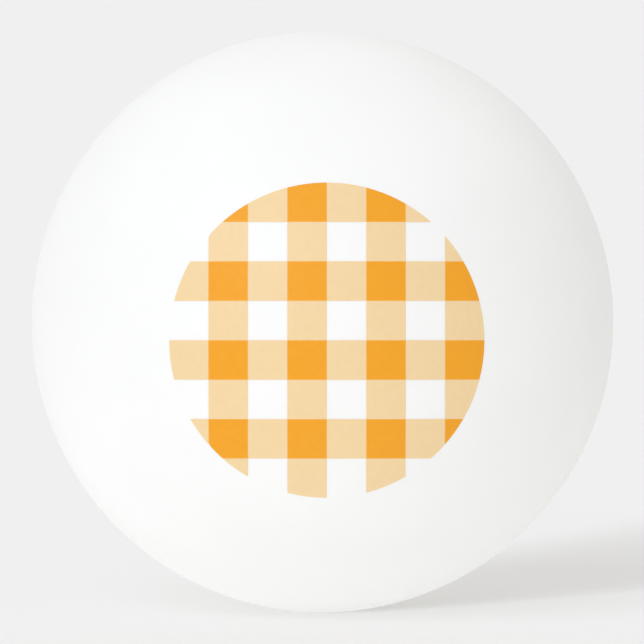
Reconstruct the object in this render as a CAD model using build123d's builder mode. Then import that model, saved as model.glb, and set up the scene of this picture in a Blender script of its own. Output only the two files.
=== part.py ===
from build123d import *

import os
from math import cos, hypot, radians, sin, sqrt

# Table tennis ball: two moulded half shells cemented in a lap joint, with a check pad-printed on one pole.
# Millimetres. The origin is the ball's centre, +Z is up, and Y is the axis that the two halves share.
# The print is on the -Y pole, and the joint lies in the plane Y = 0.

# Ball
BALL_DIAMETER = 40.0
WALL = 0.49  # the shell away from the joint
LAND_WALL = 0.80  # the shell at the joint, where the inside runs straight and thickens it

# Lap joint between the halves
CEMENT_GAP = 0.04
LIP_LENGTH = 1.2  # how far the front half's lip reaches into the rear half
BEAD_RADIUS = 0.10  # cement squeezed out on the inside

# Printed check
INK_THICKNESS = 0.02
PRINT_DIAMETER = 21.32
CELLS_ACROSS = 8
CORNER_RADIUS = 0.04  # of a pale cell, so that pale cells that meet at a corner stay separate
STROKE_RISE = 3.64  # degrees that the printing stroke leans up from the -Y axis
STROKE_TURN = 0.83  # degrees that it leans towards -X
STROKE_START = 1.0  # outside the pole
STROKE_DEPTH = 5.0  # inside it, past the edge of the printed cap

# Worked out from those
ball_radius = BALL_DIAMETER / 2
inner_radius = ball_radius - WALL
land_radius = ball_radius - LAND_WALL
land_reach = sqrt(inner_radius**2 - land_radius**2)  # where the straight land runs out into the inner sphere
lap_radius = (ball_radius + land_radius) / 2  # the glued cylinder, in the middle of the wall
half_gap = CEMENT_GAP / 2
lip_radius = lap_radius - half_gap
rebate_radius = lap_radius + half_gap
rebate_depth = LIP_LENGTH + CEMENT_GAP
butt_radius = sqrt(ball_radius**2 - half_gap**2)  # outer edge of the two butt faces
bead_centre = LIP_LENGTH + half_gap
cell = PRINT_DIAMETER / CELLS_ACROSS

stroke_back = (
    -sin(radians(STROKE_TURN)) * cos(radians(STROKE_RISE)),
    -cos(radians(STROKE_TURN)) * cos(radians(STROKE_RISE)),
    sin(radians(STROKE_RISE)),
)
print_plane = Plane(
    origin=(0, -ball_radius, 0),
    x_dir=(cos(radians(STROKE_TURN)), -sin(radians(STROKE_TURN)), 0),
    z_dir=stroke_back,
)


def cells(wanted):
    """Centres of the wanted cells that reach inside the print's edge. Every second column from the left and
    every second row from the top is a coloured band, and wanted says which crossings of them to take."""
    half = CELLS_ACROSS / 2
    centres = []
    for column in range(CELLS_ACROSS):
        for row in range(CELLS_ACROSS):
            x = column + 0.5 - half
            y = half - row - 0.5
            in_print = hypot(abs(x) - 0.5, abs(y) - 0.5) < half
            if in_print and wanted(column % 2 == 1, row % 2 == 0):
                centres.append((x * cell, y * cell))
    return centres


os.makedirs("parts", exist_ok=True)

# Front half shell, the printed one: its inner lip enters the rear half.
with BuildPart() as front_half_shell:
    with BuildSketch(Plane.XY):
        with BuildLine():
            RadiusArc((0, -ball_radius), (butt_radius, -half_gap), -ball_radius)
            Polyline(
                (butt_radius, -half_gap),
                (lip_radius, -half_gap),
                (lip_radius, LIP_LENGTH),
                (land_radius, LIP_LENGTH),
                (land_radius, -land_reach),
            )
            RadiusArc((land_radius, -land_reach), (0, -inner_radius), inner_radius)
            Line((0, -inner_radius), (0, -ball_radius))
        make_face()
    revolve(axis=Axis.Y)
front_half_shell.part.label = "front_half_shell"
export_step(front_half_shell.part, "parts/front_half_shell.step")

# Rear half shell: rebated inside to take the lip.
with BuildPart() as rear_half_shell:
    with BuildSketch(Plane.XY):
        with BuildLine():
            RadiusArc((0, ball_radius), (butt_radius, half_gap), ball_radius)
            Polyline(
                (butt_radius, half_gap),
                (rebate_radius, half_gap),
                (rebate_radius, rebate_depth),
                (land_radius, rebate_depth),
                (land_radius, land_reach),
            )
            RadiusArc((land_radius, land_reach), (0, inner_radius), -inner_radius)
            Line((0, inner_radius), (0, ball_radius))
        make_face()
    revolve(axis=Axis.Y)
rear_half_shell.part.label = "rear_half_shell"
export_step(rear_half_shell.part, "parts/rear_half_shell.step")

# Seam cement: the Z-shaped film that fills the lap, flush outside, with a small bead inside.
with BuildPart() as seam_cement:
    with BuildSketch(Plane.XY):
        with BuildLine():
            RadiusArc((butt_radius, -half_gap), (butt_radius, half_gap), -ball_radius)
            Polyline(
                (butt_radius, half_gap),
                (rebate_radius, half_gap),
                (rebate_radius, rebate_depth),
                (land_radius, rebate_depth),
                (land_radius, bead_centre + BEAD_RADIUS),
            )
            ThreePointArc(
                (land_radius, bead_centre + BEAD_RADIUS),
                (land_radius - BEAD_RADIUS, bead_centre),
                (land_radius, bead_centre - BEAD_RADIUS),
            )
            Polyline(
                (land_radius, bead_centre - BEAD_RADIUS),
                (land_radius, LIP_LENGTH),
                (lip_radius, LIP_LENGTH),
                (lip_radius, -half_gap),
                (butt_radius, -half_gap),
            )
        make_face()
    revolve(axis=Axis.Y)
seam_cement.part.label = "seam_cement"
export_step(seam_cement.part, "parts/seam_cement.step")

# Orange ink: the cells where a coloured column crosses a coloured row, each a film of its own.
with BuildPart() as print_orange_ink:
    Sphere(ball_radius + INK_THICKNESS)
    Sphere(ball_radius, mode=Mode.SUBTRACT)
    with BuildSketch(print_plane.offset(STROKE_START)):
        with Locations(*cells(lambda column, row: column and row)):
            Rectangle(cell, cell)
        Circle(PRINT_DIAMETER / 2, mode=Mode.INTERSECT)
    extrude(amount=-(STROKE_START + STROKE_DEPTH), mode=Mode.INTERSECT)
print_orange_ink.part.label = "print_orange_ink"
export_step(print_orange_ink.part, "parts/print_orange_ink.step")

# Pale ink: the cells where only one coloured band passes.
with BuildPart() as print_pale_ink:
    Sphere(ball_radius + INK_THICKNESS)
    Sphere(ball_radius, mode=Mode.SUBTRACT)
    with BuildSketch(print_plane.offset(STROKE_START)):
        with Locations(*cells(lambda column, row: column != row)):
            RectangleRounded(cell, cell, CORNER_RADIUS)
        Circle(PRINT_DIAMETER / 2, mode=Mode.INTERSECT)
    extrude(amount=-(STROKE_START + STROKE_DEPTH), mode=Mode.INTERSECT)
print_pale_ink.part.label = "print_pale_ink"
export_step(print_pale_ink.part, "parts/print_pale_ink.step")
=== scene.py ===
from math import asin, cos, pi, radians, sin, sqrt, tan

import bmesh
import bpy
from mathutils import Matrix, Vector


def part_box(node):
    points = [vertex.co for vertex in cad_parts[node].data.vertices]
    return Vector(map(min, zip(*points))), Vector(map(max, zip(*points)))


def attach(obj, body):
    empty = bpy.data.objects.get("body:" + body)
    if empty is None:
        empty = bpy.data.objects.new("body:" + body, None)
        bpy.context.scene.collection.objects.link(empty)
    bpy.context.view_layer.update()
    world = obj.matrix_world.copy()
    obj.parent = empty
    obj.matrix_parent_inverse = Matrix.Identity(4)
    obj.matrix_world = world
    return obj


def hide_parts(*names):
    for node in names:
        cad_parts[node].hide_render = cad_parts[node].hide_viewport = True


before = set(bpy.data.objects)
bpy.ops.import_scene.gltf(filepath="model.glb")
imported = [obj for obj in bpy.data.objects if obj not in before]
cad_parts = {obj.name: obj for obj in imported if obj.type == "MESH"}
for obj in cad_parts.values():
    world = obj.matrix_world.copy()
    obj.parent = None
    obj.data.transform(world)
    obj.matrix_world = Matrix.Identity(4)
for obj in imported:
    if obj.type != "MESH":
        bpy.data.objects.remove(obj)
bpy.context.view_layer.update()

MM = 0.001

# ---------------------------------------------------------------- sizes, in metres

ball_low, ball_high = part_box("front_half_shell")
RADIUS = (ball_high.x - ball_low.x) / 2
LIP_LENGTH = ball_high.y
FLOOR_Z = ball_low.z

WALL = 0.49 * MM
LAND_WALL = 0.80 * MM
CEMENT_GAP = 0.04 * MM
BEAD_RADIUS = 0.10 * MM
BEAD_STEPS = 8  # flats round the bead
EDGE_ROUND = 0.08 * MM  # how far the rounded outer edge of each half reaches from the joint
EDGE_DROP = 0.03 * MM  # how deep that rounding is at the joint
EDGE_STEPS = 4  # flats across that rounding

INK_THICKNESS = 0.02 * MM
INK_SINK = 0.01 * MM  # how far the film reaches into the plastic, so that no light gets under it
CELLS_ACROSS = 8
PRINT_RADIUS = 10.66 * MM
CELL_STEPS = 10  # quads along a cell's side
SAME_POINT = 0.0005 * MM  # points of a film that are nearer than this are one

VIEW_RISE = radians(3.64)  # the camera's height above the horizontal
VIEW_TURN = radians(0.83)  # how far it stands towards -X
VIEW_DISTANCE = 1.0
BALL_SHARE = 0.903  # of the picture's width that the ball takes
FRAME_SHIFT = -0.0008  # of the camera, both sideways and upwards, in picture widths
SENSOR_WIDTH = 36.0  # in millimetres, as Blender has it

SEGMENTS = 384  # round the ball
CAP_ANGLE = radians(52)  # from the pole to where the square grid of a half's middle ends
SHARP_ANGLE = radians(35)  # an edge sharper than this isn't shaded smooth
TERMINATOR_OFFSET = 0.4  # keeps single facets from showing where a light only grazes the ball

BACKDROP = (0.871, 0.871, 0.871)  # the tone round the ball, which open floor has too
FLOOR_COLOUR = (0.400, 0.394, 0.382)
FLOOR_REACH = 30.0  # from the middle to each side, so that its edge is never seen

# Each light is a sun: its radiance, its turn from the -Y axis towards +X, and its height above the floor.
KEY_LIGHT, KEY_TURN, KEY_RISE = 0.288, radians(-30), radians(31)
LOW_LIGHT, LOW_TURN, LOW_RISE = 4.2, radians(-30), radians(4)
UNDER_LIGHT, UNDER_TURN, UNDER_RISE = 0.165, radians(5), radians(-72)
BEHIND_LIGHT, BEHIND_TURN, BEHIND_RISE = 0.105, radians(-135), radians(-32)
BROAD = radians(40)  # how wide the key and the fills look from the ball
NARROW = radians(8)  # how wide the low light looks
COOL = (0.93, 0.985, 1.10)  # the tint of the key and the low light
FILL_TINT = (0.94, 1.0, 1.05)


# ---------------------------------------------------------------- meshes


def new_piece(name, mesh, material, body="root"):
    """Links the mesh as a piece that rides on the body."""
    mesh.materials.append(material)
    piece = bpy.data.objects.new(name, mesh)
    bpy.context.scene.collection.objects.link(piece)
    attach(piece, body)
    piece.cycles.shadow_terminator_geometry_offset = TERMINATOR_OFFSET
    return piece


def finished_mesh(name, bm, merge=0.0):
    """The bmesh as a mesh with its normals outwards, its doubled points merged if asked."""
    if merge:
        bmesh.ops.remove_doubles(bm, verts=bm.verts, dist=merge)
    bmesh.ops.recalc_face_normals(bm, faces=bm.faces)
    mesh = bpy.data.meshes.new(name)
    bm.to_mesh(mesh)
    bm.free()
    mesh.polygons.foreach_set("use_smooth", [True] * len(mesh.polygons))
    mesh.set_sharp_from_angle(angle=SHARP_ANGLE)
    return mesh


def ring(bm, radius, y):
    """A circle of points round the Y axis."""
    turns = [2 * pi * i / SEGMENTS for i in range(SEGMENTS)]
    return [bm.verts.new((radius * cos(t), y, radius * sin(t))) for t in turns]


def join_rings(bm, rings, closed=False):
    """Quads between each ring and the next."""
    pairs = list(zip(rings, rings[1:]))
    if closed:
        pairs.append((rings[-1], rings[0]))
    for one, other in pairs:
        for i in range(SEGMENTS):
            j = (i + 1) % SEGMENTS
            bm.faces.new((one[i], one[j], other[j], other[i]))


def add_cap(bm, border, radius, side):
    """Fills the border ring, which lies at CAP_ANGLE on a sphere of that radius, with a grid of quads.
    The grid is a square bent into a disc, so it has no pole. side is -1 for the half at -Y and 1 at +Y."""
    across = SEGMENTS // 4
    half = across // 2
    grid = {}
    for column in range(-half, half + 1):
        for row in range(-half, half + 1):
            reach = max(abs(column), abs(row))
            if reach == 0:
                grid[column, row] = bm.verts.new((0, side * radius, 0))
                continue
            if abs(column) >= abs(row):
                turn = pi / 4 * row / column + (pi if column < 0 else 0)
            else:
                turn = pi / 2 - pi / 4 * column / row + (pi if row < 0 else 0)
            if reach == half:
                grid[column, row] = border[round(turn / (2 * pi) * SEGMENTS) % SEGMENTS]
                continue
            polar = CAP_ANGLE * reach / half
            place = (sin(polar) * cos(turn), side * cos(polar), sin(polar) * sin(turn))
            grid[column, row] = bm.verts.new(Vector(place) * radius)
    for column in range(-half, half):
        for row in range(-half, half):
            corners = ((column, row), (column + 1, row), (column + 1, row + 1), (column, row + 1))
            bm.faces.new([grid[c] for c in corners])


def arc_angles(start, end, step):
    """Angles from start to end in equal steps, none over step."""
    count = max(1, round(abs(end - start) / step))
    return [start + (end - start) * i / count for i in range(count + 1)]


def half_shell(name, side, seam_profile):
    """One half of the ball, closed, with its true wall. seam_profile is the section at the joint, as points
    (radius, distance from the joint) from the end of the outer sphere to the start of the inner one."""
    bm = bmesh.new()
    step = 2 * pi / SEGMENTS
    inner = RADIUS - WALL
    first, last = seam_profile[0], seam_profile[-1]
    outer_end = pi / 2 - asin(first[1] / RADIUS)
    inner_start = pi / 2 - asin(last[1] / inner)
    outer_arc = arc_angles(CAP_ANGLE, outer_end, step)[:-1]
    inner_arc = arc_angles(inner_start, CAP_ANGLE, step)[1:]
    rings = [ring(bm, RADIUS * sin(a), side * RADIUS * cos(a)) for a in outer_arc]
    outer_border = rings[0]
    rings += [ring(bm, r, side * y) for r, y in seam_profile]
    rings += [ring(bm, inner * sin(a), side * inner * cos(a)) for a in inner_arc]
    join_rings(bm, rings)
    add_cap(bm, outer_border, RADIUS, side)
    add_cap(bm, rings[-1], inner, side)
    return finished_mesh(name, bm)


def rounded_edge():
    """A half's outer edge at the joint, as (radius, distance from the joint), from the sphere inwards."""
    points = []
    for i in range(EDGE_STEPS + 1):
        turn = pi / 2 * i / EDGE_STEPS
        y = CEMENT_GAP / 2 + EDGE_ROUND * (1 - sin(turn))
        points.append((sqrt(RADIUS**2 - y**2) - EDGE_DROP * (1 - cos(turn)), y))
    return points


def seam_sections():
    """The joint's section for the front half, the rear half and the cement between them."""
    half_gap = CEMENT_GAP / 2
    land = RADIUS - LAND_WALL
    lap = (RADIUS + land) / 2
    run_out = sqrt((RADIUS - WALL) ** 2 - land**2)
    lip, rebate = lap - half_gap, lap + half_gap
    depth = LIP_LENGTH + CEMENT_GAP
    edge = rounded_edge()
    front = [*edge, (lip, half_gap), (lip, -LIP_LENGTH), (land, -LIP_LENGTH), (land, run_out)]
    rear = [*edge, (rebate, half_gap), (rebate, depth), (land, depth), (land, run_out)]
    top = edge[-1][0]
    bead = LIP_LENGTH + half_gap
    bead_turns = [pi * i / BEAD_STEPS for i in range(BEAD_STEPS + 1)]
    cement = [(top, -half_gap), (top, half_gap), (rebate, half_gap), (rebate, depth), (land, depth)]
    cement += [(land - BEAD_RADIUS * sin(t), bead + BEAD_RADIUS * cos(t)) for t in bead_turns]
    cement += [(land, LIP_LENGTH), (lip, LIP_LENGTH), (lip, -half_gap)]
    return front, rear, cement


def cement_ring(name, section):
    """The cement, as its closed section turned round the Y axis."""
    bm = bmesh.new()
    join_rings(bm, [ring(bm, r, y) for r, y in section], closed=True)
    return finished_mesh(name, bm)


# ---------------------------------------------------------------- the printed check


def view_axes():
    """The directions right, up and back towards the camera. The check was printed along the same ones."""
    back = Vector((-sin(VIEW_TURN) * cos(VIEW_RISE), -cos(VIEW_TURN) * cos(VIEW_RISE), sin(VIEW_RISE)))
    right = Vector((cos(VIEW_TURN), -sin(VIEW_TURN), 0))
    return right, back.cross(right), back


def on_ball(x, y, radius):
    """The point of a sphere of that radius that the printing stroke reaches, x, y from the print's middle."""
    right, up, back = view_axes()
    start = Vector((0, -RADIUS, 0)) + right * x + up * y
    along = start.dot(back)
    depth = along - sqrt(along**2 - start.length_squared + radius**2)
    return start - back * depth


def cell_points(near_x, near_y):
    """Rows of points over one cell, in cells from the print's middle. near_x and near_y are the sizes of the
    coordinates of its nearest corner. Where the print's round edge crosses the cell, the rows end on it."""
    edge = CELLS_ACROSS / 2
    swap = near_x < near_y
    near, low = (near_y, near_x) if swap else (near_x, near_y)
    high = min(low + 1, sqrt(edge**2 - near**2))
    rows = []
    for i in range(CELL_STEPS + 1):
        minor = low + (high - low) * i / CELL_STEPS
        far = min(near + 1, sqrt(max(near**2, edge**2 - minor**2)))
        line = [(near + (far - near) * j / CELL_STEPS, minor) for j in range(CELL_STEPS + 1)]
        rows.append([(b, a) if swap else (a, b) for a, b in line])
    return rows


def ink_film(name, wanted):
    """The cells that wanted chooses, each a closed film on the ball. It is told of each cell whether its column
    is a coloured band, and whether its row is."""
    bm = bmesh.new()
    half = CELLS_ACROSS // 2
    cell = 2 * PRINT_RADIUS / CELLS_ACROSS
    for column in range(CELLS_ACROSS):
        for row in range(CELLS_ACROSS):
            near_x = column - half if column >= half else half - 1 - column
            near_y = row - half if row >= half else half - 1 - row
            inside = near_x**2 + near_y**2 < half**2
            if not inside or not wanted(column % 2 == 1, row % 2 == 0):
                continue
            sign_x = cell if column >= half else -cell
            sign_y = -cell if row >= half else cell
            rows = cell_points(near_x, near_y)
            add_film(bm, [[(x * sign_x, y * sign_y) for x, y in line] for line in rows])
    return finished_mesh(name, bm, merge=SAME_POINT)


def add_film(bm, flat):
    """One closed film over the grid of flat points: its top, its bottom and the wall round it."""
    steps = CELL_STEPS
    top = [[bm.verts.new(on_ball(x, y, RADIUS + INK_THICKNESS)) for x, y in line] for line in flat]
    low = [[bm.verts.new(on_ball(x, y, RADIUS - INK_SINK)) for x, y in line] for line in flat]
    for i in range(steps):
        for j in range(steps):
            bm.faces.new((top[i][j], top[i][j + 1], top[i + 1][j + 1], top[i + 1][j]))
            bm.faces.new((low[i][j], low[i + 1][j], low[i + 1][j + 1], low[i][j + 1]))
    rim = [(0, j) for j in range(steps)] + [(i, steps) for i in range(steps)]
    rim += [(steps, j) for j in range(steps, 0, -1)] + [(i, 0) for i in range(steps, 0, -1)]
    for (a, b), (c, d) in zip(rim, rim[1:] + rim[:1]):
        bm.faces.new((top[a][b], low[a][b], low[c][d], top[c][d]))


# ---------------------------------------------------------------- materials


def new_material(name):
    """A material, its node tree and its shader."""
    material = bpy.data.materials.new(name)
    material.use_nodes = True
    tree = material.node_tree
    return material, tree, tree.nodes["Principled BSDF"]


def noise(tree, size, detail=2.0, roughness=0.5):
    """A noise over the object, whose features are about size metres across. Returns its factor."""
    place = tree.nodes.new("ShaderNodeTexCoord")
    node = tree.nodes.new("ShaderNodeTexNoise")
    node.inputs["Scale"].default_value = 1 / size
    node.inputs["Detail"].default_value = detail
    node.inputs["Roughness"].default_value = roughness
    tree.links.new(place.outputs["Object"], node.inputs["Vector"])
    return node.outputs["Fac"]


def spread(tree, value, low, high):
    """Maps 0.3 to 0.7 of a noise to low to high."""
    node = tree.nodes.new("ShaderNodeMapRange")
    node.inputs["From Min"].default_value = 0.3
    node.inputs["From Max"].default_value = 0.7
    node.inputs["To Min"].default_value = low
    node.inputs["To Max"].default_value = high
    tree.links.new(value, node.inputs["Value"])
    return node.outputs["Result"]


def mixed_colour(tree, factor, one, other):
    """From one to the colour other as the factor rises. one is a colour, or the output of another node."""
    node = tree.nodes.new("ShaderNodeMix")
    node.data_type = "RGBA"
    if isinstance(one, tuple):
        node.inputs[6].default_value = (*one, 1)
    else:
        tree.links.new(one, node.inputs[6])
    node.inputs[7].default_value = (*other, 1)
    tree.links.new(factor, node.inputs[0])
    return node.outputs[2]


def mixed_value(tree, factor, one, other):
    """From the value one to the value other as the factor rises."""
    node = tree.nodes.new("ShaderNodeMix")
    tree.links.new(factor, node.inputs[0])
    tree.links.new(one, node.inputs[2])
    tree.links.new(other, node.inputs[3])
    return node.outputs[0]


def product(tree, one, other):
    """The two values multiplied."""
    node = tree.nodes.new("ShaderNodeMath")
    node.operation = "MULTIPLY"
    tree.links.new(one, node.inputs[0])
    tree.links.new(other, node.inputs[1])
    return node.outputs["Value"]


def bump(tree, height, distance, normal=None):
    """A normal roughened by height, distance metres deep, on top of another normal if given."""
    node = tree.nodes.new("ShaderNodeBump")
    node.inputs["Distance"].default_value = distance
    tree.links.new(height, node.inputs["Height"])
    if normal is not None:
        tree.links.new(normal, node.inputs["Normal"])
    return node.outputs["Normal"]


def round_the_ball(tree, size, stretch):
    """A noise whose features are about size metres along Y and stretch times that across it. Beside the
    joint they run round the ball, like the marks that a spinning ball takes."""
    place = tree.nodes.new("ShaderNodeTexCoord")
    narrow = tree.nodes.new("ShaderNodeVectorMath")
    narrow.operation = "MULTIPLY"
    narrow.inputs[1].default_value = (1, stretch, 1)
    node = tree.nodes.new("ShaderNodeTexNoise")
    node.inputs["Scale"].default_value = 1 / (size * stretch)
    node.inputs["Detail"].default_value = 2.0
    tree.links.new(place.outputs["Object"], narrow.inputs[0])
    tree.links.new(narrow.outputs["Vector"], node.inputs["Vector"])
    return node.outputs["Fac"]


def near_seam(tree, reach):
    """1 at the joint, falling to 0 at reach metres on both sides."""
    place = tree.nodes.new("ShaderNodeTexCoord")
    parts = tree.nodes.new("ShaderNodeSeparateXYZ")
    away = tree.nodes.new("ShaderNodeMath")
    away.operation = "ABSOLUTE"
    fade = tree.nodes.new("ShaderNodeMapRange")
    fade.interpolation_type = "SMOOTHSTEP"
    fade.inputs["From Min"].default_value = 0.0
    fade.inputs["From Max"].default_value = reach
    fade.inputs["To Min"].default_value = 1.0
    fade.inputs["To Max"].default_value = 0.0
    tree.links.new(place.outputs["Object"], parts.inputs["Vector"])
    tree.links.new(parts.outputs["Y"], away.inputs[0])
    tree.links.new(away.outputs["Value"], fade.inputs["Value"])
    return fade.outputs["Result"]


def ball_plastic():
    """Matt white plastic: a faint cloudiness, the fine grain that tumbling leaves, and a band along the joint
    that was ground flush, with marks that run round the ball."""
    material, tree, shader = new_material("matt_white_plastic")
    cloud = spread(tree, noise(tree, 6 * MM, detail=3.0), 0.0, 1.0)
    body = mixed_colour(tree, cloud, (0.861, 0.854, 0.832), (0.875, 0.868, 0.846))
    band = near_seam(tree, 1.2 * MM)
    marks = round_the_ball(tree, 0.09 * MM, 30)
    ground = product(tree, band, spread(tree, marks, 0.25, 0.75))
    colour = mixed_colour(tree, ground, body, (0.850, 0.843, 0.821))
    tree.links.new(colour, shader.inputs["Base Color"])
    grain_gloss = spread(tree, noise(tree, 0.35 * MM), 0.50, 0.62)
    mark_gloss = spread(tree, marks, 0.38, 0.52)
    tree.links.new(mixed_value(tree, band, grain_gloss, mark_gloss), shader.inputs["Roughness"])
    coarse = bump(tree, noise(tree, 0.6 * MM), 0.003 * MM)
    fine = bump(tree, noise(tree, 0.15 * MM), 0.0015 * MM, coarse)
    tree.links.new(bump(tree, product(tree, band, marks), 0.003 * MM, fine), shader.inputs["Normal"])
    shader.inputs["Specular IOR Level"].default_value = 0.18
    shader.inputs["Subsurface Weight"].default_value = 0.1
    shader.inputs["Subsurface Radius"].default_value = (1.0, 0.9, 0.8)
    shader.inputs["Subsurface Scale"].default_value = 0.4 * MM
    return material


def set_cement():
    """Set cement: a little warmer and glossier than the plastic."""
    material, tree, shader = new_material("set_cement")
    cloud = spread(tree, noise(tree, 1.5 * MM), 0.0, 1.0)
    colour = mixed_colour(tree, cloud, (0.70, 0.675, 0.61), (0.78, 0.755, 0.69))
    tree.links.new(colour, shader.inputs["Base Color"])
    tree.links.new(spread(tree, noise(tree, 0.5 * MM), 0.30, 0.45), shader.inputs["Roughness"])
    tree.links.new(bump(tree, noise(tree, 0.3 * MM), 0.002 * MM), shader.inputs["Normal"])
    return material


def ink(name, thin, thick):
    """Pad-printed ink: its density varies a little, and so does its gloss."""
    material, tree, shader = new_material(name)
    density = spread(tree, noise(tree, 0.5 * MM, detail=3.0), 0.0, 1.0)
    tree.links.new(mixed_colour(tree, density, thin, thick), shader.inputs["Base Color"])
    tree.links.new(spread(tree, noise(tree, 0.35 * MM), 0.42, 0.55), shader.inputs["Roughness"])
    tree.links.new(bump(tree, noise(tree, 0.2 * MM), 0.001 * MM), shader.inputs["Normal"])
    shader.inputs["Specular IOR Level"].default_value = 0.25
    return material


def floor_glow():
    """The light that the table gives off by itself: what open floor, lit by the backdrop, the key and the low
    light, lacks of the backdrop's tone."""
    key = KEY_LIGHT * sin(KEY_RISE)
    low = LOW_LIGHT * sin(LOW_RISE)
    return [b - f * (b + (key + low) * c) for b, f, c in zip(BACKDROP, FLOOR_COLOUR, COOL)]


def floor_material():
    """A softly backlit table, as product studios use to lift an object's underside."""
    material, tree, shader = new_material("light_table")
    shader.inputs["Base Color"].default_value = (*FLOOR_COLOUR, 1)
    shader.inputs["Roughness"].default_value = 1.0
    shader.inputs["Specular IOR Level"].default_value = 0.0
    shader.inputs["Emission Color"].default_value = (*floor_glow(), 1)
    shader.inputs["Emission Strength"].default_value = 1.0
    return material


# ---------------------------------------------------------------- the ball

plastic = ball_plastic()
front_section, rear_section, cement_section = seam_sections()

front = new_piece("front_half", half_shell("front_half", -1, front_section), plastic)
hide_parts("front_half_shell")

rear = new_piece("rear_half", half_shell("rear_half", 1, rear_section), plastic)
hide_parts("rear_half_shell")

cement = new_piece("cement_ring", cement_ring("cement_ring", cement_section), set_cement())
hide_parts("seam_cement")

orange_ink = ink("orange_print", (0.834, 0.346, 0.0145), (0.818, 0.333, 0.0130))
orange = new_piece("orange_ink", ink_film("orange_ink", lambda column, row: column and row), orange_ink)
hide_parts("print_orange_ink")

pale_ink = ink("pale_print", (0.830, 0.619, 0.342), (0.820, 0.601, 0.326))
pale = new_piece("pale_ink", ink_film("pale_ink", lambda column, row: column != row), pale_ink)
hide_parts("print_pale_ink")


# ---------------------------------------------------------------- floor, light and camera


def make_floor():
    """The light table, level with the ball's lowest point."""
    reach = FLOOR_REACH
    bm = bmesh.new()
    corners = [(-reach, -reach), (reach, -reach), (reach, reach), (-reach, reach)]
    bm.faces.new([bm.verts.new((x, y, FLOOR_Z)) for x, y in corners])
    floor = bpy.data.objects.new("floor", finished_mesh("floor", bm))
    floor.data.materials.append(floor_material())
    bpy.context.scene.collection.objects.link(floor)
    return floor


def make_backdrop():
    """One even tone all round."""
    world = bpy.data.worlds.new("studio")
    bpy.context.scene.world = world
    world.use_nodes = True
    background = world.node_tree.nodes["Background"]
    background.inputs["Color"].default_value = (*BACKDROP, 1)
    background.inputs["Strength"].default_value = 1.0


def make_sun(name, radiance, turn, rise, softness, colour, onto=None):
    """A distant light that looks softness wide. turn is from the -Y axis towards +X, and rise is from the
    floor. With onto, it lights only those objects."""
    sun = bpy.data.lights.new(name, "SUN")
    sun.energy = pi * radiance
    sun.angle = softness
    sun.color = colour
    lamp = bpy.data.objects.new(name, sun)
    bpy.context.scene.collection.objects.link(lamp)
    towards = Vector((sin(turn) * cos(rise), -cos(turn) * cos(rise), sin(rise)))
    lamp.rotation_mode = "QUATERNION"
    lamp.rotation_quaternion = towards.to_track_quat("Z", "Y")
    if onto:
        group = bpy.data.collections.new(name + "_targets")
        for target in onto:
            group.objects.link(target)
        lamp.light_linking.receiver_collection = group
    return lamp


def make_light(floor, ball):
    """The key light, a low one that only draws the shadow on the floor, and two fills from below for the ball.
    Only the ball holds the fills back, so they reach it through the table."""
    make_sun("key", KEY_LIGHT, KEY_TURN, KEY_RISE, BROAD, COOL)
    make_sun("low", LOW_LIGHT, LOW_TURN, LOW_RISE, NARROW, COOL, onto=[floor])
    under = make_sun("under_fill", UNDER_LIGHT, UNDER_TURN, UNDER_RISE, BROAD, FILL_TINT, onto=ball)
    behind = make_sun("behind_fill", BEHIND_LIGHT, BEHIND_TURN, BEHIND_RISE, BROAD, FILL_TINT, onto=ball)
    for fill in (under, behind):
        fill.light_linking.blocker_collection = fill.light_linking.receiver_collection


def make_camera():
    """A camera that looks at the ball's centre, which is the origin."""
    data = bpy.data.cameras.new("camera")
    data.sensor_width = SENSOR_WIDTH
    data.lens = BALL_SHARE * data.sensor_width / 2 / tan(asin(RADIUS / VIEW_DISTANCE))
    data.shift_x = FRAME_SHIFT
    data.shift_y = FRAME_SHIFT
    data.clip_start = 0.1
    data.clip_end = 100.0
    camera = bpy.data.objects.new("camera", data)
    bpy.context.scene.collection.objects.link(camera)
    right, up, back = view_axes()
    facing = Matrix((right, up, back)).transposed().to_4x4()
    camera.matrix_world = Matrix.Translation(back * VIEW_DISTANCE) @ facing
    bpy.context.scene.camera = camera


make_backdrop()
make_light(make_floor(), (front, rear, cement, orange, pale))
make_camera()
bpy.context.scene.view_settings.view_transform = "Standard"
bpy.context.scene.cycles.diffuse_bounces = 24  # white on white takes many
bpy.context.scene.cycles.max_bounces = 28
